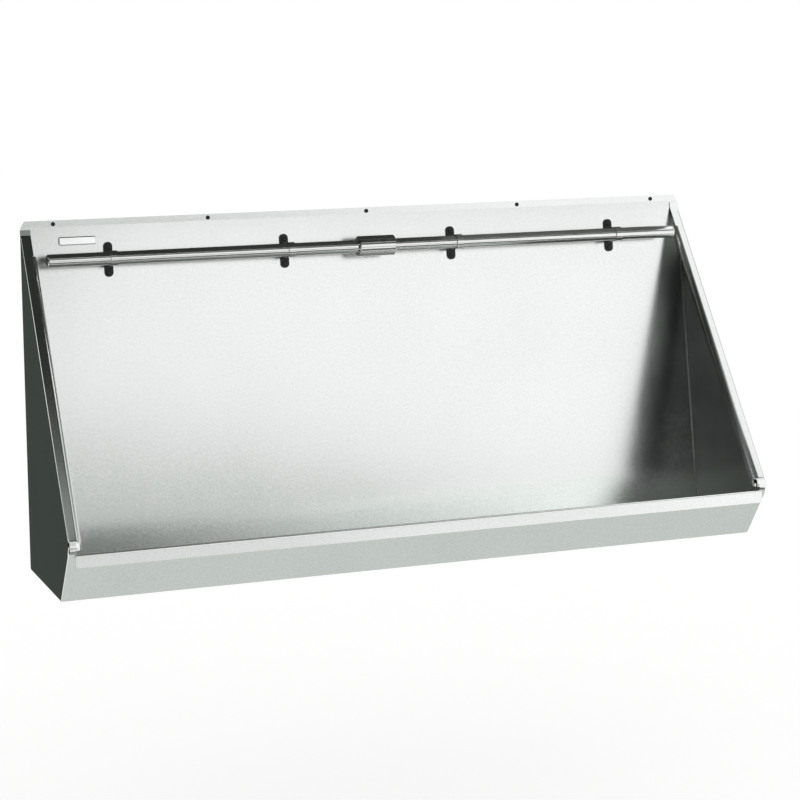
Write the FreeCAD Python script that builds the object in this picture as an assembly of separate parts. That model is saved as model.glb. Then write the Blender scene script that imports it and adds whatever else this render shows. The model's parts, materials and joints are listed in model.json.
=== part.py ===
import FreeCAD, Part
import math
import os

Vector = FreeCAD.Vector

# Wall-hung stainless steel trough urinal with an exposed flush pipe.
# Heights are measured up from the bottom edge of the end panels, Y = 0 is the wall
# and the front faces -Y. Each finished piece is lowered so that the origin is the
# centre of the top row of wall fixings, on the wall.

# Overall
length = 1200.0
flange_top = 577.0
flange_bend = 566.0
fixing_height = 571.0
sheet = 1.5
half_length = length / 2
inside_half = half_length - sheet
touch_gap = 0.1
near = 0.01

# Back panel
back_lean = 6.8
flange_end_cut = 7.0
fold_radius = 3.0

# End panels
bottom_depth = 254.0
shoulder_depth = 328.0
shoulder_height = 93.0
apex_depth = 8.0
apex_height = 549.0
tab_top = 563.0
shoulder_radius = 26.0
bottom_radius = 8.0
rear_corner_radius = 6.0
edge_flange = 13.0
tab_width = 17.0
rear_flange = 24.0
rear_flange_top = 520.0
edge_bend_radius = 2.0
edge_roll_radius = 10.0
edge_roll_top = 522.0
edge_roll_turn = 38.0
end_fixing_inset = 12.0
end_fixing_low = 150.0
end_fixing_high = 450.0
end_fixing_radius = 3.25

# Trough channel and front wall
floor_height = 6.0
floor_fall = 8.0
floor_flat_half = 60.0
floor_front_depth = 236.0
back_cove = 9.0
front_cove = 20.0
seam_height = 60.0

# Lip and apron
lip_height = 88.0
lip_inner_height = 83.0
lip_inner_depth = 306.0
lip_outer_depth = 325.0
lip_bottom = 66.0
lip_half = 589.0
lip_corner_radius = 6.0
lip_notch_inner = 314.0
lip_notch_outer = 321.8
lip_fold_radius = 2.5
front_wall_half = 596.5
apron_return = 16.0
apron_top_return_depth = 309.0

# Wall fixings in the top flange
fixing_places = (-545.0, -282.5, 0.0, 282.5, 545.0)
fixing_hole_radius = 2.9
bush_body_radius = 2.85
bush_head_radius = 3.5
bush_head = 1.2
bush_bore_radius = 2.1

# Flush pipe, measured out from the back panel
pipe_foot_height = 509.0
pipe_standoff = 39.0
pipe_radius = 11.0
pipe_bore_radius = 9.8
pipe_inner_end = 6.5
pipe_outer_end = 562.0
cap_length = 4.0
cap_edge_radius = 3.0
cap_spigot = 10.0
cap_spigot_radius = 9.75
spray_first = 70.0
spray_step = 50.0
spray_count = 10
spray_radius = 1.25
spray_angle = 35.0

# Inlet tee
tee_half = 32.75
tee_radius = 17.5
tee_bore_radius = 11.05
tee_stop_half = 6.0
tee_chamfer = 1.5
branch_radius = 13.0
branch_end = -5.9
branch_thread_radius = 9.3
branch_thread_end = 12.0
branch_way_radius = 7.0
collar_radius = 19.0
collar = 4.0
inlet_gasket = 2.0
inlet_hole_radius = 13.5
inlet_nut_across = 34.0
inlet_nut = 3.8
ring_places = (14.0, 23.0)
ring_section_radius = 1.2
ring_centre_radius = 12.35
groove_radius = 13.6
groove_width = 2.6

# Pipe clips
clip_places = (-456.0, -152.0, 152.0, 456.0)
clip_width = 14.0
clip_height = 58.0
clip_plate = 4.0
clip_block_width = 13.0
clip_seat_radius = 11.3
clip_seat_top = 35.5
clip_hook_height = 18.5
clip_hook = 1.6
strap_width = 12.0
strap_thickness = 1.5
screw_offset = 21.5
screw_radius = 2.4
screw_head_radius = 4.2
screw_head = 2.2
screw_socket_radius = 1.6
screw_tip = 4.9
screw_hole_radius = 2.75
nut_across = 8.0
nut_height = 2.7

# Waste outlet
waste_depth = 132.0
sump_top_radius = 46.0
sump_bottom_radius = 38.0
sump_drop = 4.5
sump_overlap = 0.5
waste_hole_radius = 26.0
waste_flange_radius = 36.0
waste_flange = 2.5
waste_gasket = 1.5
tail_radius = 23.9
tail_end_radius = 23.5
tail_bore_radius = 20.0
tail_shoulder = -10.5
tail_bottom = -22.5
seat_radius = 33.0
seat_depth = 1.2
lower_gasket = 2.0
lower_gasket_radius = 33.0
waste_nut_across = 60.0
waste_nut = 8.0
grating_rim_radius = 32.6
grating_dome_height = 14.0
grating_wall = 1.5
grating_slots = 12
grating_slot_width = 4.0
grating_slot_inner = 9.0
grating_slot_outer = 25.0
skirt_radius = 19.3
skirt_wall = 1.5
skirt_drop = 8.0

# Rear stays, pads, earth tag and blank plate
stay_place = 300.0
stay_sheet = 2.0
stay_low = 75.0
stay_high = 470.0
stay_flange = 25.0
pad_place = 150.0
pad_width = 220.0
pad_tall = 180.0
pad_thickness = 4.0
pad_height = 250.0
tag_length = 24.0
tag_width = 14.0
tag_depth = 120.0
tag_hole_radius = 3.25
tag_screw_radius = 3.0
tag_head_radius = 5.2
tag_head = 3.0
tag_screw_below = 9.0
tag_nut_across = 10.0
tag_nut = 5.0
plate_place = -506.5
plate_height = 542.0
plate_width = 62.0
plate_tall = 14.0
plate_thickness = 2.0
plate_corner_radius = 3.0

lean_slope = math.tan(math.radians(back_lean))
apron_slope = (shoulder_depth - bottom_depth) / shoulder_height
front_wall_slope = (lip_inner_depth - floor_front_depth) / (lip_inner_height - floor_height)
edge_slope = (shoulder_depth - apex_depth) / (apex_height - shoulder_height)


def back_face(height):
    # Y of the back panel's front face
    return -sheet - lean_slope * (flange_bend - height)


def back_rear_face(height):
    return back_face(height) + sheet / math.cos(math.radians(back_lean))


def front_face(height):
    # Y of the front wall's inner face
    return -floor_front_depth - front_wall_slope * (height - floor_height)


def section(depth, height):
    return Vector(0, -depth, height)


def corner_arc(before, corner, after, radius):
    # Start, middle and end of the arc that rounds one corner
    to_before = (before - corner).normalize()
    to_after = (after - corner).normalize()
    half_angle = to_before.getAngle(to_after) / 2
    bisector = (to_before + to_after).normalize()
    centre = corner + bisector * (radius / math.sin(half_angle))
    reach = radius / math.tan(half_angle)
    return corner + to_before * reach, centre - bisector * radius, corner + to_after * reach


def rounded_wire(corners, radii):
    # Closed wire through the corners, where a radius of 0 leaves one sharp
    count = len(corners)
    arcs = []
    for i in range(count):
        if radii[i] > 0:
            arcs.append(corner_arc(corners[i - 1], corners[i], corners[(i + 1) % count], radii[i]))
        else:
            arcs.append((corners[i], corners[i], corners[i]))
    edges = []
    for i in range(count):
        start, middle, end = arcs[i]
        if radii[i] > 0:
            edges.append(Part.Arc(start, middle, end).toShape())
        edges.append(Part.makeLine(end, arcs[(i + 1) % count][0]))
    return Part.Wire(edges)


def left_of(start, end):
    # Unit vector to the left of a line in the Y-Z section
    along = (end - start).normalize()
    return Vector(0, -along.z, along.y)


def folded_section(points, fold_radii):
    # Closed section of a folded sheet that lies to the left of a line of points
    sides = [left_of(points[i], points[i + 1]) for i in range(len(points) - 1)]
    far = [points[0] + sides[0] * sheet]
    near_radii = [0]
    far_radii = [0]
    for i in range(1, len(points) - 1):
        side_sum = sides[i - 1] + sides[i]
        far.append(points[i] + side_sum * (sheet / (1 + sides[i - 1].dot(sides[i]))))
        turns_left = sides[i - 1].cross(sides[i]).x > 0
        near_radii.append(fold_radii[i - 1] + (sheet if turns_left else 0))
        far_radii.append(fold_radii[i - 1] + (0 if turns_left else sheet))
    far.append(points[-1] + sides[-1] * sheet)
    near_radii.append(0)
    far_radii.append(0)
    return rounded_wire(points + far[::-1], near_radii + far_radii[::-1])


def along_wall(wire, half_span):
    # Sheet of constant section, centred on X = 0
    face = Part.Face(wire)
    face.translate(Vector(-half_span, 0, 0))
    return face.extrude(Vector(2 * half_span, 0, 0))


def block(x_low, x_high, y_low, y_high, z_low, z_high):
    corner = Vector(x_low, y_low, z_low)
    return Part.makeBox(x_high - x_low, y_high - y_low, z_high - z_low, corner)


def rod(radius, start, end):
    span = end - start
    return Part.makeCylinder(radius, span.Length, start, span)


def upright(radius, low, high, x=0.0, y=0.0):
    return rod(radius, Vector(x, y, low), Vector(x, y, high))


def hex_prism(across, low, high, x=0.0, y=0.0):
    reach = across / math.sqrt(3)
    corners = [Vector(x + reach * math.cos(math.pi * i / 3), y + reach * math.sin(math.pi * i / 3), low)
               for i in range(6)]
    face = Part.Face(Part.makePolygon(corners + corners[:1]))
    return face.extrude(Vector(0, 0, high - low))


def on_back_panel(shape, x, height):
    # Places a piece made with x along the panel, y up it and z out of it
    placed = shape.copy()
    placed.rotate(Vector(0, 0, 0), Vector(1, 0, 0), 90 - back_lean)
    placed.translate(Vector(x, back_face(height), height))
    return placed


def mirrored(shape):
    return shape.mirror(Vector(0, 0, 0), Vector(1, 0, 0))


def fused(shapes):
    return shapes[0].multiFuse(shapes[1:]).removeSplitter()


def make_back_panel():
    points = [section(sheet, flange_top), section(sheet, flange_bend),
              Vector(0, back_face(seam_height), seam_height)]
    panel = along_wall(folded_section(points, [fold_radius]), inside_half)
    cuts = [rod(fixing_hole_radius, Vector(x, -2 * sheet, fixing_height), Vector(x, sheet, fixing_height))
            for x in fixing_places]
    bend_end = Vector(inside_half, -2 * sheet, flange_bend)
    corner_outline = [bend_end, Vector(inside_half + sheet, -2 * sheet, flange_top + sheet),
                      Vector(inside_half - flange_end_cut, -2 * sheet, flange_top + sheet), bend_end]
    corner = Part.Face(Part.makePolygon(corner_outline)).extrude(Vector(0, 4 * sheet, 0))
    cuts += [corner, mirrored(corner)]
    cuts.append(on_back_panel(upright(inlet_hole_radius, -3 * sheet, sheet), 0, pipe_foot_height))
    for x in clip_places:
        for offset in (-screw_offset, screw_offset):
            hole = upright(screw_hole_radius, -3 * sheet, sheet, 0, offset)
            cuts.append(on_back_panel(hole, x, pipe_foot_height))
    return panel.cut(cuts)


def channel_wire(x, floor):
    floor_line = [Vector(0, back_face(seam_height), seam_height), Vector(0, back_face(floor), floor),
                  Vector(0, front_face(floor), floor), Vector(0, front_face(seam_height), seam_height)]
    wire = folded_section(floor_line, [back_cove, front_cove])
    wire.translate(Vector(x, 0, 0))
    return wire


def make_trough_channel():
    end_floor = floor_height + floor_fall
    places = ((-inside_half, end_floor), (-floor_flat_half, floor_height),
              (floor_flat_half, floor_height), (inside_half, end_floor))
    channel = Part.makeLoft([channel_wire(x, floor) for x, floor in places], True, True)
    bottom = floor_height - sump_drop
    rim = sump_top_radius
    opening = upright(rim - sump_overlap, -sump_drop, floor_height + sump_drop, 0, -waste_depth)
    channel = channel.cut(opening)
    hole_edge = Vector(waste_hole_radius, 0, bottom)
    sump_outline = [hole_edge, Vector(sump_bottom_radius, 0, bottom), Vector(rim, 0, floor_height),
                    Vector(rim, 0, floor_height - sheet),
                    Vector(sump_bottom_radius + sheet / 2, 0, bottom - sheet),
                    Vector(waste_hole_radius, 0, bottom - sheet), hole_edge]
    sump = Part.Face(Part.makePolygon(sump_outline)).revolve(Vector(0, 0, 0), Vector(0, 0, 1), 360)
    sump.translate(Vector(0, -waste_depth, 0))
    return fused([channel, sump])


def make_front_lip():
    # The top falls inwards so that it drains into the trough
    points = [Vector(0, front_face(seam_height), seam_height), section(lip_inner_depth, lip_inner_height),
              section(lip_outer_depth, lip_height), section(lip_outer_depth, lip_bottom)]
    lip = along_wall(folded_section(points, [lip_fold_radius, lip_fold_radius]), front_wall_half)
    notch_edge = half_length - edge_flange - touch_gap
    pass_through = block(notch_edge, half_length, -lip_notch_outer, -lip_notch_inner,
                         seam_height, shoulder_height)
    beyond = block(lip_half, half_length, -lip_outer_depth - sheet, -lip_notch_inner,
                   seam_height, shoulder_height)
    lip = lip.cut([pass_through, mirrored(pass_through), beyond, mirrored(beyond)])
    corners = [edge for edge in lip.Edges if is_lip_corner(edge)]
    return lip.makeFillet(lip_corner_radius, corners)


def is_lip_corner(edge):
    # Short edges through the sheet at the two bottom ends of the lip
    middle = edge.CenterOfMass
    return abs(middle.z - lip_bottom) < near and abs(abs(middle.x) - lip_half) < near


def make_front_apron():
    # The apron's top return lies against the underside of the lip
    lip_run = lip_outer_depth - lip_inner_depth
    lip_rise = (lip_height - lip_inner_height) / lip_run
    under = lip_inner_height - sheet * math.hypot(1, lip_rise)
    return_start = section(apron_top_return_depth, under + lip_rise * (apron_top_return_depth - lip_inner_depth))
    bottom = section(bottom_depth, 0)
    points = [return_start, crossing(return_start, -1 / lip_rise, bottom, -apron_slope),
              bottom, section(bottom_depth - apron_return, 0)]
    return along_wall(folded_section(points, [fold_radius, bottom_radius - sheet]),
                      half_length - edge_flange - touch_gap)


def end_outline(inset):
    corners = [section(0, 0), section(bottom_depth, 0), section(shoulder_depth, shoulder_height),
               section(apex_depth, apex_height), section(0, apex_height)]
    radii = [rear_corner_radius, bottom_radius, shoulder_radius, 0, 0]
    wire = rounded_wire(corners, radii)
    if inset > 0:
        wire = wire.makeOffset2D(-inset, 2)
    return wire


def end_prism(inset, x_out, x_in, bend):
    # Solid of the end panel's outline, with its outer edge bent round
    face = Part.Face(end_outline(inset))
    face.translate(Vector(x_out, 0, 0))
    prism = face.extrude(Vector(x_in - x_out, 0, 0))
    rim = []
    for edge in prism.Edges:
        middle = edge.CenterOfMass
        if abs(middle.x - x_out) < near and middle.z < apex_height - 2 * sheet:
            rim.append(edge)
    return prism.makeFillet(bend, rim)


def crossing(first, first_slope, second, second_slope):
    # Where two lines meet in the section, each given by a point and its Y per unit of height
    first_start = first.y - first_slope * first.z
    second_start = second.y - second_slope * second.z
    height = (second_start - first_start) / (first_slope - second_slope)
    return Vector(0, first_start + first_slope * height, height)


def make_end_tab(inner_edge):
    # Top end of the front flange, turned flat on to the back panel. It is wider than the
    # flange, and its wide part reaches down to where the rolled edge begins.
    full = tab_section(apex_height)
    full.translate(Vector(inner_edge, 0, 0))
    wide = tab_section(edge_roll_top)
    wide.translate(Vector(half_length - tab_width, 0, 0))
    return [full.extrude(Vector(edge_flange, 0, 0)), wide.extrude(Vector(tab_width - edge_flange / 2, 0, 0))]


def tab_section(low):
    edge_sheet = sheet * math.hypot(1, edge_slope)
    outer_low = section(apex_depth + edge_slope * (apex_height - low), low)
    inner_low = outer_low + Vector(0, edge_sheet, 0)
    panel_high = Vector(0, back_face(tab_top), tab_top)
    face_high = panel_high - Vector(0, sheet, 0)
    outline = [outer_low, crossing(outer_low, edge_slope, face_high, lean_slope), face_high, panel_high,
               crossing(inner_low, edge_slope, panel_high, lean_slope), inner_low, outer_low]
    return Part.Face(Part.makePolygon(outline))


def make_edge_roll(inner_edge):
    # Rolled safe edge on the front flange, down the slope and round the shoulder
    apex = section(apex_depth, apex_height)
    shoulder = section(shoulder_depth, shoulder_height)
    bottom = section(bottom_depth, 0)
    tangent = corner_arc(apex, shoulder, bottom, shoulder_radius)[0]
    upward = (apex - shoulder).normalize()
    outward = left_of(shoulder, apex)
    inward = Vector(-1, 0, 0)
    diagonal = (outward + inward).normalize()
    axis = tangent - outward * edge_roll_radius + Vector(inner_edge, 0, 0)
    outer = [axis + way * edge_roll_radius for way in (outward, diagonal, inward)]
    inner = [axis + way * (edge_roll_radius - sheet) for way in (inward, diagonal, outward)]
    face = Part.Face(Part.Wire([
        Part.Arc(*outer).toShape(), Part.makeLine(outer[2], inner[0]),
        Part.Arc(*inner).toShape(), Part.makeLine(inner[2], outer[0])]))
    straight = face.extrude(upward * ((edge_roll_top - tangent.z) / upward.z))
    bend = face.revolve(tangent - outward * shoulder_radius, Vector(1, 0, 0), edge_roll_turn)
    return [straight, bend]


def make_right_end_panel():
    inner_edge = half_length - edge_flange
    outer = end_prism(0, half_length, inner_edge, edge_bend_radius + sheet)
    inner = end_prism(sheet, inside_half, inner_edge - sheet, edge_bend_radius)
    panel = outer.cut(inner)
    rear_inner = half_length - rear_flange
    strip = block(rear_inner, inner_edge, -sheet, 0, end_fixing_low / 2, rear_flange_top)
    behind_back = block(rear_inner - sheet, inside_half, back_face(rear_flange_top), sheet,
                        rear_flange_top, flange_top)
    panel = fused([panel, strip]).cut(behind_back)
    panel = fused([panel] + make_end_tab(inner_edge) + make_edge_roll(inner_edge))
    cuts = []
    for height in (end_fixing_low, end_fixing_high):
        x = half_length - end_fixing_inset
        cuts.append(rod(end_fixing_radius, Vector(x, -2 * sheet, height), Vector(x, sheet, height)))
    return panel.cut(cuts)


def make_fixing_bushes():
    bushes = []
    for x in fixing_places:
        wall = Vector(x, 0, fixing_height)
        face = Vector(x, -sheet, fixing_height)
        front = Vector(x, -sheet - bush_head, fixing_height)
        bush = fused([rod(bush_body_radius, wall, face), rod(bush_head_radius, face, front)])
        bushes.append(bush.cut(rod(bush_bore_radius, wall, front)))
    return Part.makeCompound(bushes)


def make_pipe_right():
    axis = Vector(0, 0, pipe_standoff)
    inner = Vector(pipe_inner_end, 0, 0) + axis
    outer = Vector(pipe_outer_end, 0, 0) + axis
    pipe = rod(pipe_radius, inner, outer).cut(rod(pipe_bore_radius, inner, outer))
    angle = math.radians(spray_angle)
    aim = Vector(0, -math.sin(angle), -math.cos(angle))
    sprays = []
    for i in range(spray_count):
        start = Vector(spray_first + spray_step * i, 0, 0) + axis
        sprays.append(rod(spray_radius, start, start + aim * (2 * pipe_radius)))
    return on_back_panel(pipe.cut(sprays), 0, pipe_foot_height)


def make_cap_right():
    axis = Vector(0, 0, pipe_standoff)
    seat = Vector(pipe_outer_end, 0, 0) + axis
    tip = Vector(pipe_outer_end + cap_length, 0, 0) + axis
    end = Vector(pipe_outer_end - cap_spigot, 0, 0) + axis
    head = rod(pipe_radius, seat, tip)
    rim = [edge for edge in head.Edges if abs(edge.CenterOfMass.x - tip.x) < near]
    head = head.makeFillet(cap_edge_radius, rim)
    return on_back_panel(fused([head, rod(cap_spigot_radius, end, seat)]), 0, pipe_foot_height)


def make_inlet_tee():
    axis = Vector(0, 0, pipe_standoff)
    left = Vector(-tee_half, 0, 0) + axis
    right = Vector(tee_half, 0, 0) + axis
    sleeve = rod(tee_radius, left, right)
    ends = [edge for edge in sleeve.Edges if abs(abs(edge.CenterOfMass.x) - tee_half) < near]
    sleeve = sleeve.makeChamfer(tee_chamfer, ends)
    tee = fused([sleeve, upright(branch_radius, branch_end, pipe_standoff),
                 upright(collar_radius, inlet_gasket, inlet_gasket + collar)])
    stop = Vector(tee_stop_half, 0, 0)
    cuts = [rod(tee_bore_radius, left, axis - stop), rod(tee_bore_radius, axis + stop, right),
            rod(pipe_bore_radius, left, right), upright(branch_thread_radius, branch_end, branch_thread_end),
            upright(branch_way_radius, branch_thread_end, pipe_standoff)]
    for place in ring_places:
        for x in (-place, place):
            middle = Vector(x, 0, 0) + axis
            half = Vector(groove_width / 2, 0, 0)
            cuts.append(rod(groove_radius, middle - half, middle + half))
    return on_back_panel(tee.cut(cuts), 0, pipe_foot_height)


def make_tee_rings():
    rings = []
    for place in ring_places:
        for x in (-place, place):
            centre = Vector(x, 0, pipe_standoff)
            ring = Part.makeTorus(ring_centre_radius, ring_section_radius, centre, Vector(1, 0, 0))
            rings.append(on_back_panel(ring, 0, pipe_foot_height))
    return Part.makeCompound(rings)


def make_inlet_gasket():
    ring = upright(collar_radius, 0, inlet_gasket).cut(upright(branch_radius + touch_gap, 0, inlet_gasket))
    return on_back_panel(ring, 0, pipe_foot_height)


def make_inlet_backnut():
    nut = hex_prism(inlet_nut_across, -sheet - inlet_nut, -sheet)
    nut = nut.cut(upright(branch_radius + touch_gap, -sheet - inlet_nut, -sheet))
    return on_back_panel(nut, 0, pipe_foot_height)


def make_clip_base(x):
    half_width = clip_width / 2
    end = clip_height / 2 - half_width
    plate = fused([block(-half_width, half_width, -end, end, 0, clip_plate),
                   upright(half_width, 0, clip_plate, 0, end), upright(half_width, 0, clip_plate, 0, -end)])
    half_block = clip_block_width / 2
    seat_side = clip_seat_radius - touch_gap
    body = block(-half_block, half_block, -seat_side, seat_side, 0, clip_seat_top)
    axis = Vector(0, 0, pipe_standoff)
    reach = Vector(clip_width, 0, 0)
    cuts = [rod(clip_seat_radius, axis - reach, axis + reach)]
    groove = clip_hook + 2 * touch_gap
    for side in (-1, 1):
        edges = sorted((side * seat_side, side * (seat_side - groove)))
        cuts.append(block(-half_block, half_block, edges[0], edges[1],
                          clip_hook_height - touch_gap, clip_hook_height + groove))
    for offset in (-screw_offset, screw_offset):
        cuts.append(upright(screw_hole_radius, 0, clip_plate, 0, offset))
    return on_back_panel(fused([plate, body]).cut(cuts), x, pipe_foot_height)


def make_clip_strap(x):
    half_width = strap_width / 2
    inner = clip_seat_radius
    outer = inner + strap_thickness
    axis = Vector(0, 0, pipe_standoff)
    reach = Vector(half_width, 0, 0)
    arch = rod(outer, axis - reach, axis + reach).cut(rod(inner, axis - reach, axis + reach))
    arch = arch.cut(block(-half_width, half_width, -outer, outer, pipe_standoff - outer, pipe_standoff))
    pieces = [arch]
    for side in (-1, 1):
        leg = sorted((side * inner, side * outer))
        hook = sorted((side * (inner - clip_hook), side * inner))
        pieces.append(block(-half_width, half_width, leg[0], leg[1], clip_hook_height, pipe_standoff))
        pieces.append(block(-half_width, half_width, hook[0], hook[1],
                            clip_hook_height, clip_hook_height + strap_thickness))
    return on_back_panel(fused(pieces), x, pipe_foot_height)


def make_clip_screws():
    screws = []
    for x in clip_places:
        for offset in (-screw_offset, screw_offset):
            top = clip_plate + screw_head
            head = upright(screw_head_radius, clip_plate, top, 0, offset)
            rim = [edge for edge in head.Edges if abs(edge.CenterOfMass.z - top) < near]
            head = head.makeFillet(screw_head / 2, rim)
            socket = hex_prism(2 * screw_socket_radius, top - screw_head / 2, top, 0, offset)
            screw = fused([head, upright(screw_radius, -screw_tip, clip_plate, 0, offset)]).cut(socket)
            screws.append(on_back_panel(screw, x, pipe_foot_height))
    return Part.makeCompound(screws)


def make_clip_nuts():
    nuts = []
    for x in clip_places:
        for offset in (-screw_offset, screw_offset):
            nut = hex_prism(nut_across, -sheet - nut_height, -sheet, 0, offset)
            nut = nut.cut(upright(screw_radius + touch_gap, -sheet - nut_height, -sheet, 0, offset))
            nuts.append(on_back_panel(nut, x, pipe_foot_height))
    return Part.makeCompound(nuts)


def at_waste(shape):
    shape.translate(Vector(0, -waste_depth, 0))
    return shape


def make_waste_body():
    seat = floor_height - sump_drop + waste_gasket
    top = seat + waste_flange
    flange = upright(waste_flange_radius, seat, top)
    rim = [edge for edge in flange.Edges if abs(edge.CenterOfMass.z - top) < near]
    flange = flange.makeChamfer(waste_flange / 2, rim)
    body = fused([flange, upright(tail_radius, tail_shoulder, seat),
                  upright(tail_end_radius, tail_bottom, seat)])
    body = body.cut([upright(tail_bore_radius, tail_bottom, top),
                     upright(seat_radius, top - seat_depth, top)])
    return at_waste(body)


def make_waste_ring(outer, inner, low, high):
    return at_waste(upright(outer, low, high).cut(upright(inner, low, high)))


def make_waste_backnut():
    top = floor_height - sump_drop - sheet - lower_gasket
    nut = hex_prism(waste_nut_across, top - waste_nut, top)
    return at_waste(nut.cut(upright(tail_radius + 2 * touch_gap, top - waste_nut, top)))


def make_waste_grating():
    low = floor_height - sump_drop + waste_gasket + waste_flange - seat_depth
    # Ball that passes through the rim and rises to the dome's height
    ball = (grating_rim_radius ** 2 + grating_dome_height ** 2) / (2 * grating_dome_height)
    centre = Vector(0, 0, low + grating_dome_height - ball)
    shell = Part.makeSphere(ball, centre).cut(Part.makeSphere(ball - grating_wall, centre))
    limit = 2 * ball
    dome = shell.cut(block(-limit, limit, -limit, limit, low - limit - ball, low))
    skirt = upright(skirt_radius, low - skirt_drop, low + grating_dome_height)
    skirt = skirt.cut(upright(skirt_radius - skirt_wall, low - skirt_drop, low + grating_dome_height))
    skirt = skirt.common(Part.makeSphere(ball - grating_wall / 2, centre))
    slots = []
    for i in range(grating_slots):
        middle = (grating_slot_inner + grating_slot_outer) / 2
        half = (grating_slot_outer - grating_slot_inner) / 2
        slot = block(middle - half, middle + half, -grating_slot_width / 2, grating_slot_width / 2,
                     low, low + grating_dome_height)
        slot.rotate(Vector(0, 0, 0), Vector(0, 0, 1), 360 * i / grating_slots)
        slots.append(slot)
    return at_waste(fused([dome.cut(slots), skirt]))


def make_stay_right():
    # Web from the wall to the back panel, with a flange on the wall
    rear_low = Vector(stay_place, 0, stay_low)
    rear_high = Vector(stay_place, 0, stay_high)
    front_high = Vector(stay_place, back_rear_face(stay_high), stay_high)
    front_low = Vector(stay_place, back_rear_face(stay_low), stay_low)
    web = Part.Face(Part.makePolygon([rear_low, rear_high, front_high, front_low, rear_low]))
    web = web.extrude(Vector(stay_sheet, 0, 0))
    flange = block(stay_place, stay_place + stay_flange, -stay_sheet, 0, stay_low, stay_high)
    return fused([web, flange])


def make_sound_pads():
    half = pad_width / 2
    pads = []
    for x in (-pad_place, pad_place):
        pad = block(-half, half, -pad_tall / 2, pad_tall / 2, -sheet - pad_thickness, -sheet)
        pads.append(on_back_panel(pad, x, pad_height))
    return Part.makeCompound(pads)


def tag_centre():
    return half_length - edge_flange - tag_length / 2


def make_earth_tag():
    inner = half_length - edge_flange
    tag = block(inner - tag_length, inner, -tag_depth - tag_width / 2, -tag_depth + tag_width / 2, 0, sheet)
    return tag.cut(upright(tag_hole_radius, 0, sheet, tag_centre(), -tag_depth))


def make_earth_screw():
    head = upright(tag_head_radius, sheet, sheet + tag_head, tag_centre(), -tag_depth)
    return fused([head, upright(tag_screw_radius, -tag_screw_below, sheet, tag_centre(), -tag_depth)])


def make_earth_nut():
    nut = hex_prism(tag_nut_across, -tag_nut, 0, tag_centre(), -tag_depth)
    return nut.cut(upright(tag_screw_radius + touch_gap, -tag_nut, 0, tag_centre(), -tag_depth))


def make_blank_plate():
    half_width = plate_width / 2
    half_tall = plate_tall / 2
    corners = [Vector(-half_width, -half_tall, 0), Vector(half_width, -half_tall, 0),
               Vector(half_width, half_tall, 0), Vector(-half_width, half_tall, 0)]
    plate = Part.Face(rounded_wire(corners, [plate_corner_radius] * 4))
    return on_back_panel(plate.extrude(Vector(0, 0, plate_thickness)), plate_place, plate_height)


def save(node, shape):
    piece = shape.copy()
    piece.translate(Vector(0, 0, -fixing_height))
    solids = piece.Solids
    volume = sum(solid.Volume for solid in solids)
    print(node, "solids", len(solids), "volume", round(volume), "valid", piece.isValid())
    piece.exportStep("parts/" + node + ".step")


def main():
    os.makedirs("parts", exist_ok=True)
    save("back_panel", make_back_panel())
    save("trough_channel", make_trough_channel())
    save("front_lip", make_front_lip())
    save("front_apron", make_front_apron())
    right_end = make_right_end_panel()
    save("end_panel_right", right_end)
    save("end_panel_left", mirrored(right_end))
    save("fixing_bushes", make_fixing_bushes())
    right_pipe = make_pipe_right()
    save("sparge_pipe_right", right_pipe)
    save("sparge_pipe_left", mirrored(right_pipe))
    right_cap = make_cap_right()
    save("pipe_cap_right", right_cap)
    save("pipe_cap_left", mirrored(right_cap))
    save("inlet_tee", make_inlet_tee())
    save("tee_o_rings", make_tee_rings())
    save("inlet_gasket", make_inlet_gasket())
    save("inlet_backnut", make_inlet_backnut())
    for number, x in enumerate(clip_places, start=1):
        save("clip_base_" + str(number), make_clip_base(x))
        save("clip_strap_" + str(number), make_clip_strap(x))
    save("clip_screws", make_clip_screws())
    save("clip_nuts", make_clip_nuts())
    sump_floor = floor_height - sump_drop
    save("waste_body", make_waste_body())
    save("waste_gasket_upper",
         make_waste_ring(waste_flange_radius, waste_hole_radius, sump_floor, sump_floor + waste_gasket))
    save("waste_gasket_lower",
         make_waste_ring(lower_gasket_radius, tail_radius + 2 * touch_gap,
                         sump_floor - sheet - lower_gasket, sump_floor - sheet))
    save("waste_backnut", make_waste_backnut())
    save("waste_grating", make_waste_grating())
    right_stay = make_stay_right()
    save("rear_stay_right", right_stay)
    save("rear_stay_left", mirrored(right_stay))
    save("sound_pads", make_sound_pads())
    save("earth_tag", make_earth_tag())
    save("earth_screw", make_earth_screw())
    save("earth_nut", make_earth_nut())
    save("blank_plate", make_blank_plate())


main()
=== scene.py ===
import bmesh
import bpy
import json
import math
from mathutils import Matrix, Vector


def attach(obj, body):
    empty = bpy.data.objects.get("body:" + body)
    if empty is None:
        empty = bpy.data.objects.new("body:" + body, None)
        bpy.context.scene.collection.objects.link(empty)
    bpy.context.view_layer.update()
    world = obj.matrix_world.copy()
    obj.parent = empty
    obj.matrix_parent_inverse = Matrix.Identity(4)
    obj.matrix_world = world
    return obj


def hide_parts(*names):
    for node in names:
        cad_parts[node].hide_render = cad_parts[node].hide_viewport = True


# Wall-hung steel trough urinal with an exposed flush pipe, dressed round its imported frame.
# Metres, origin at the middle of the top fixing row on the wall, front towards -Y.

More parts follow.
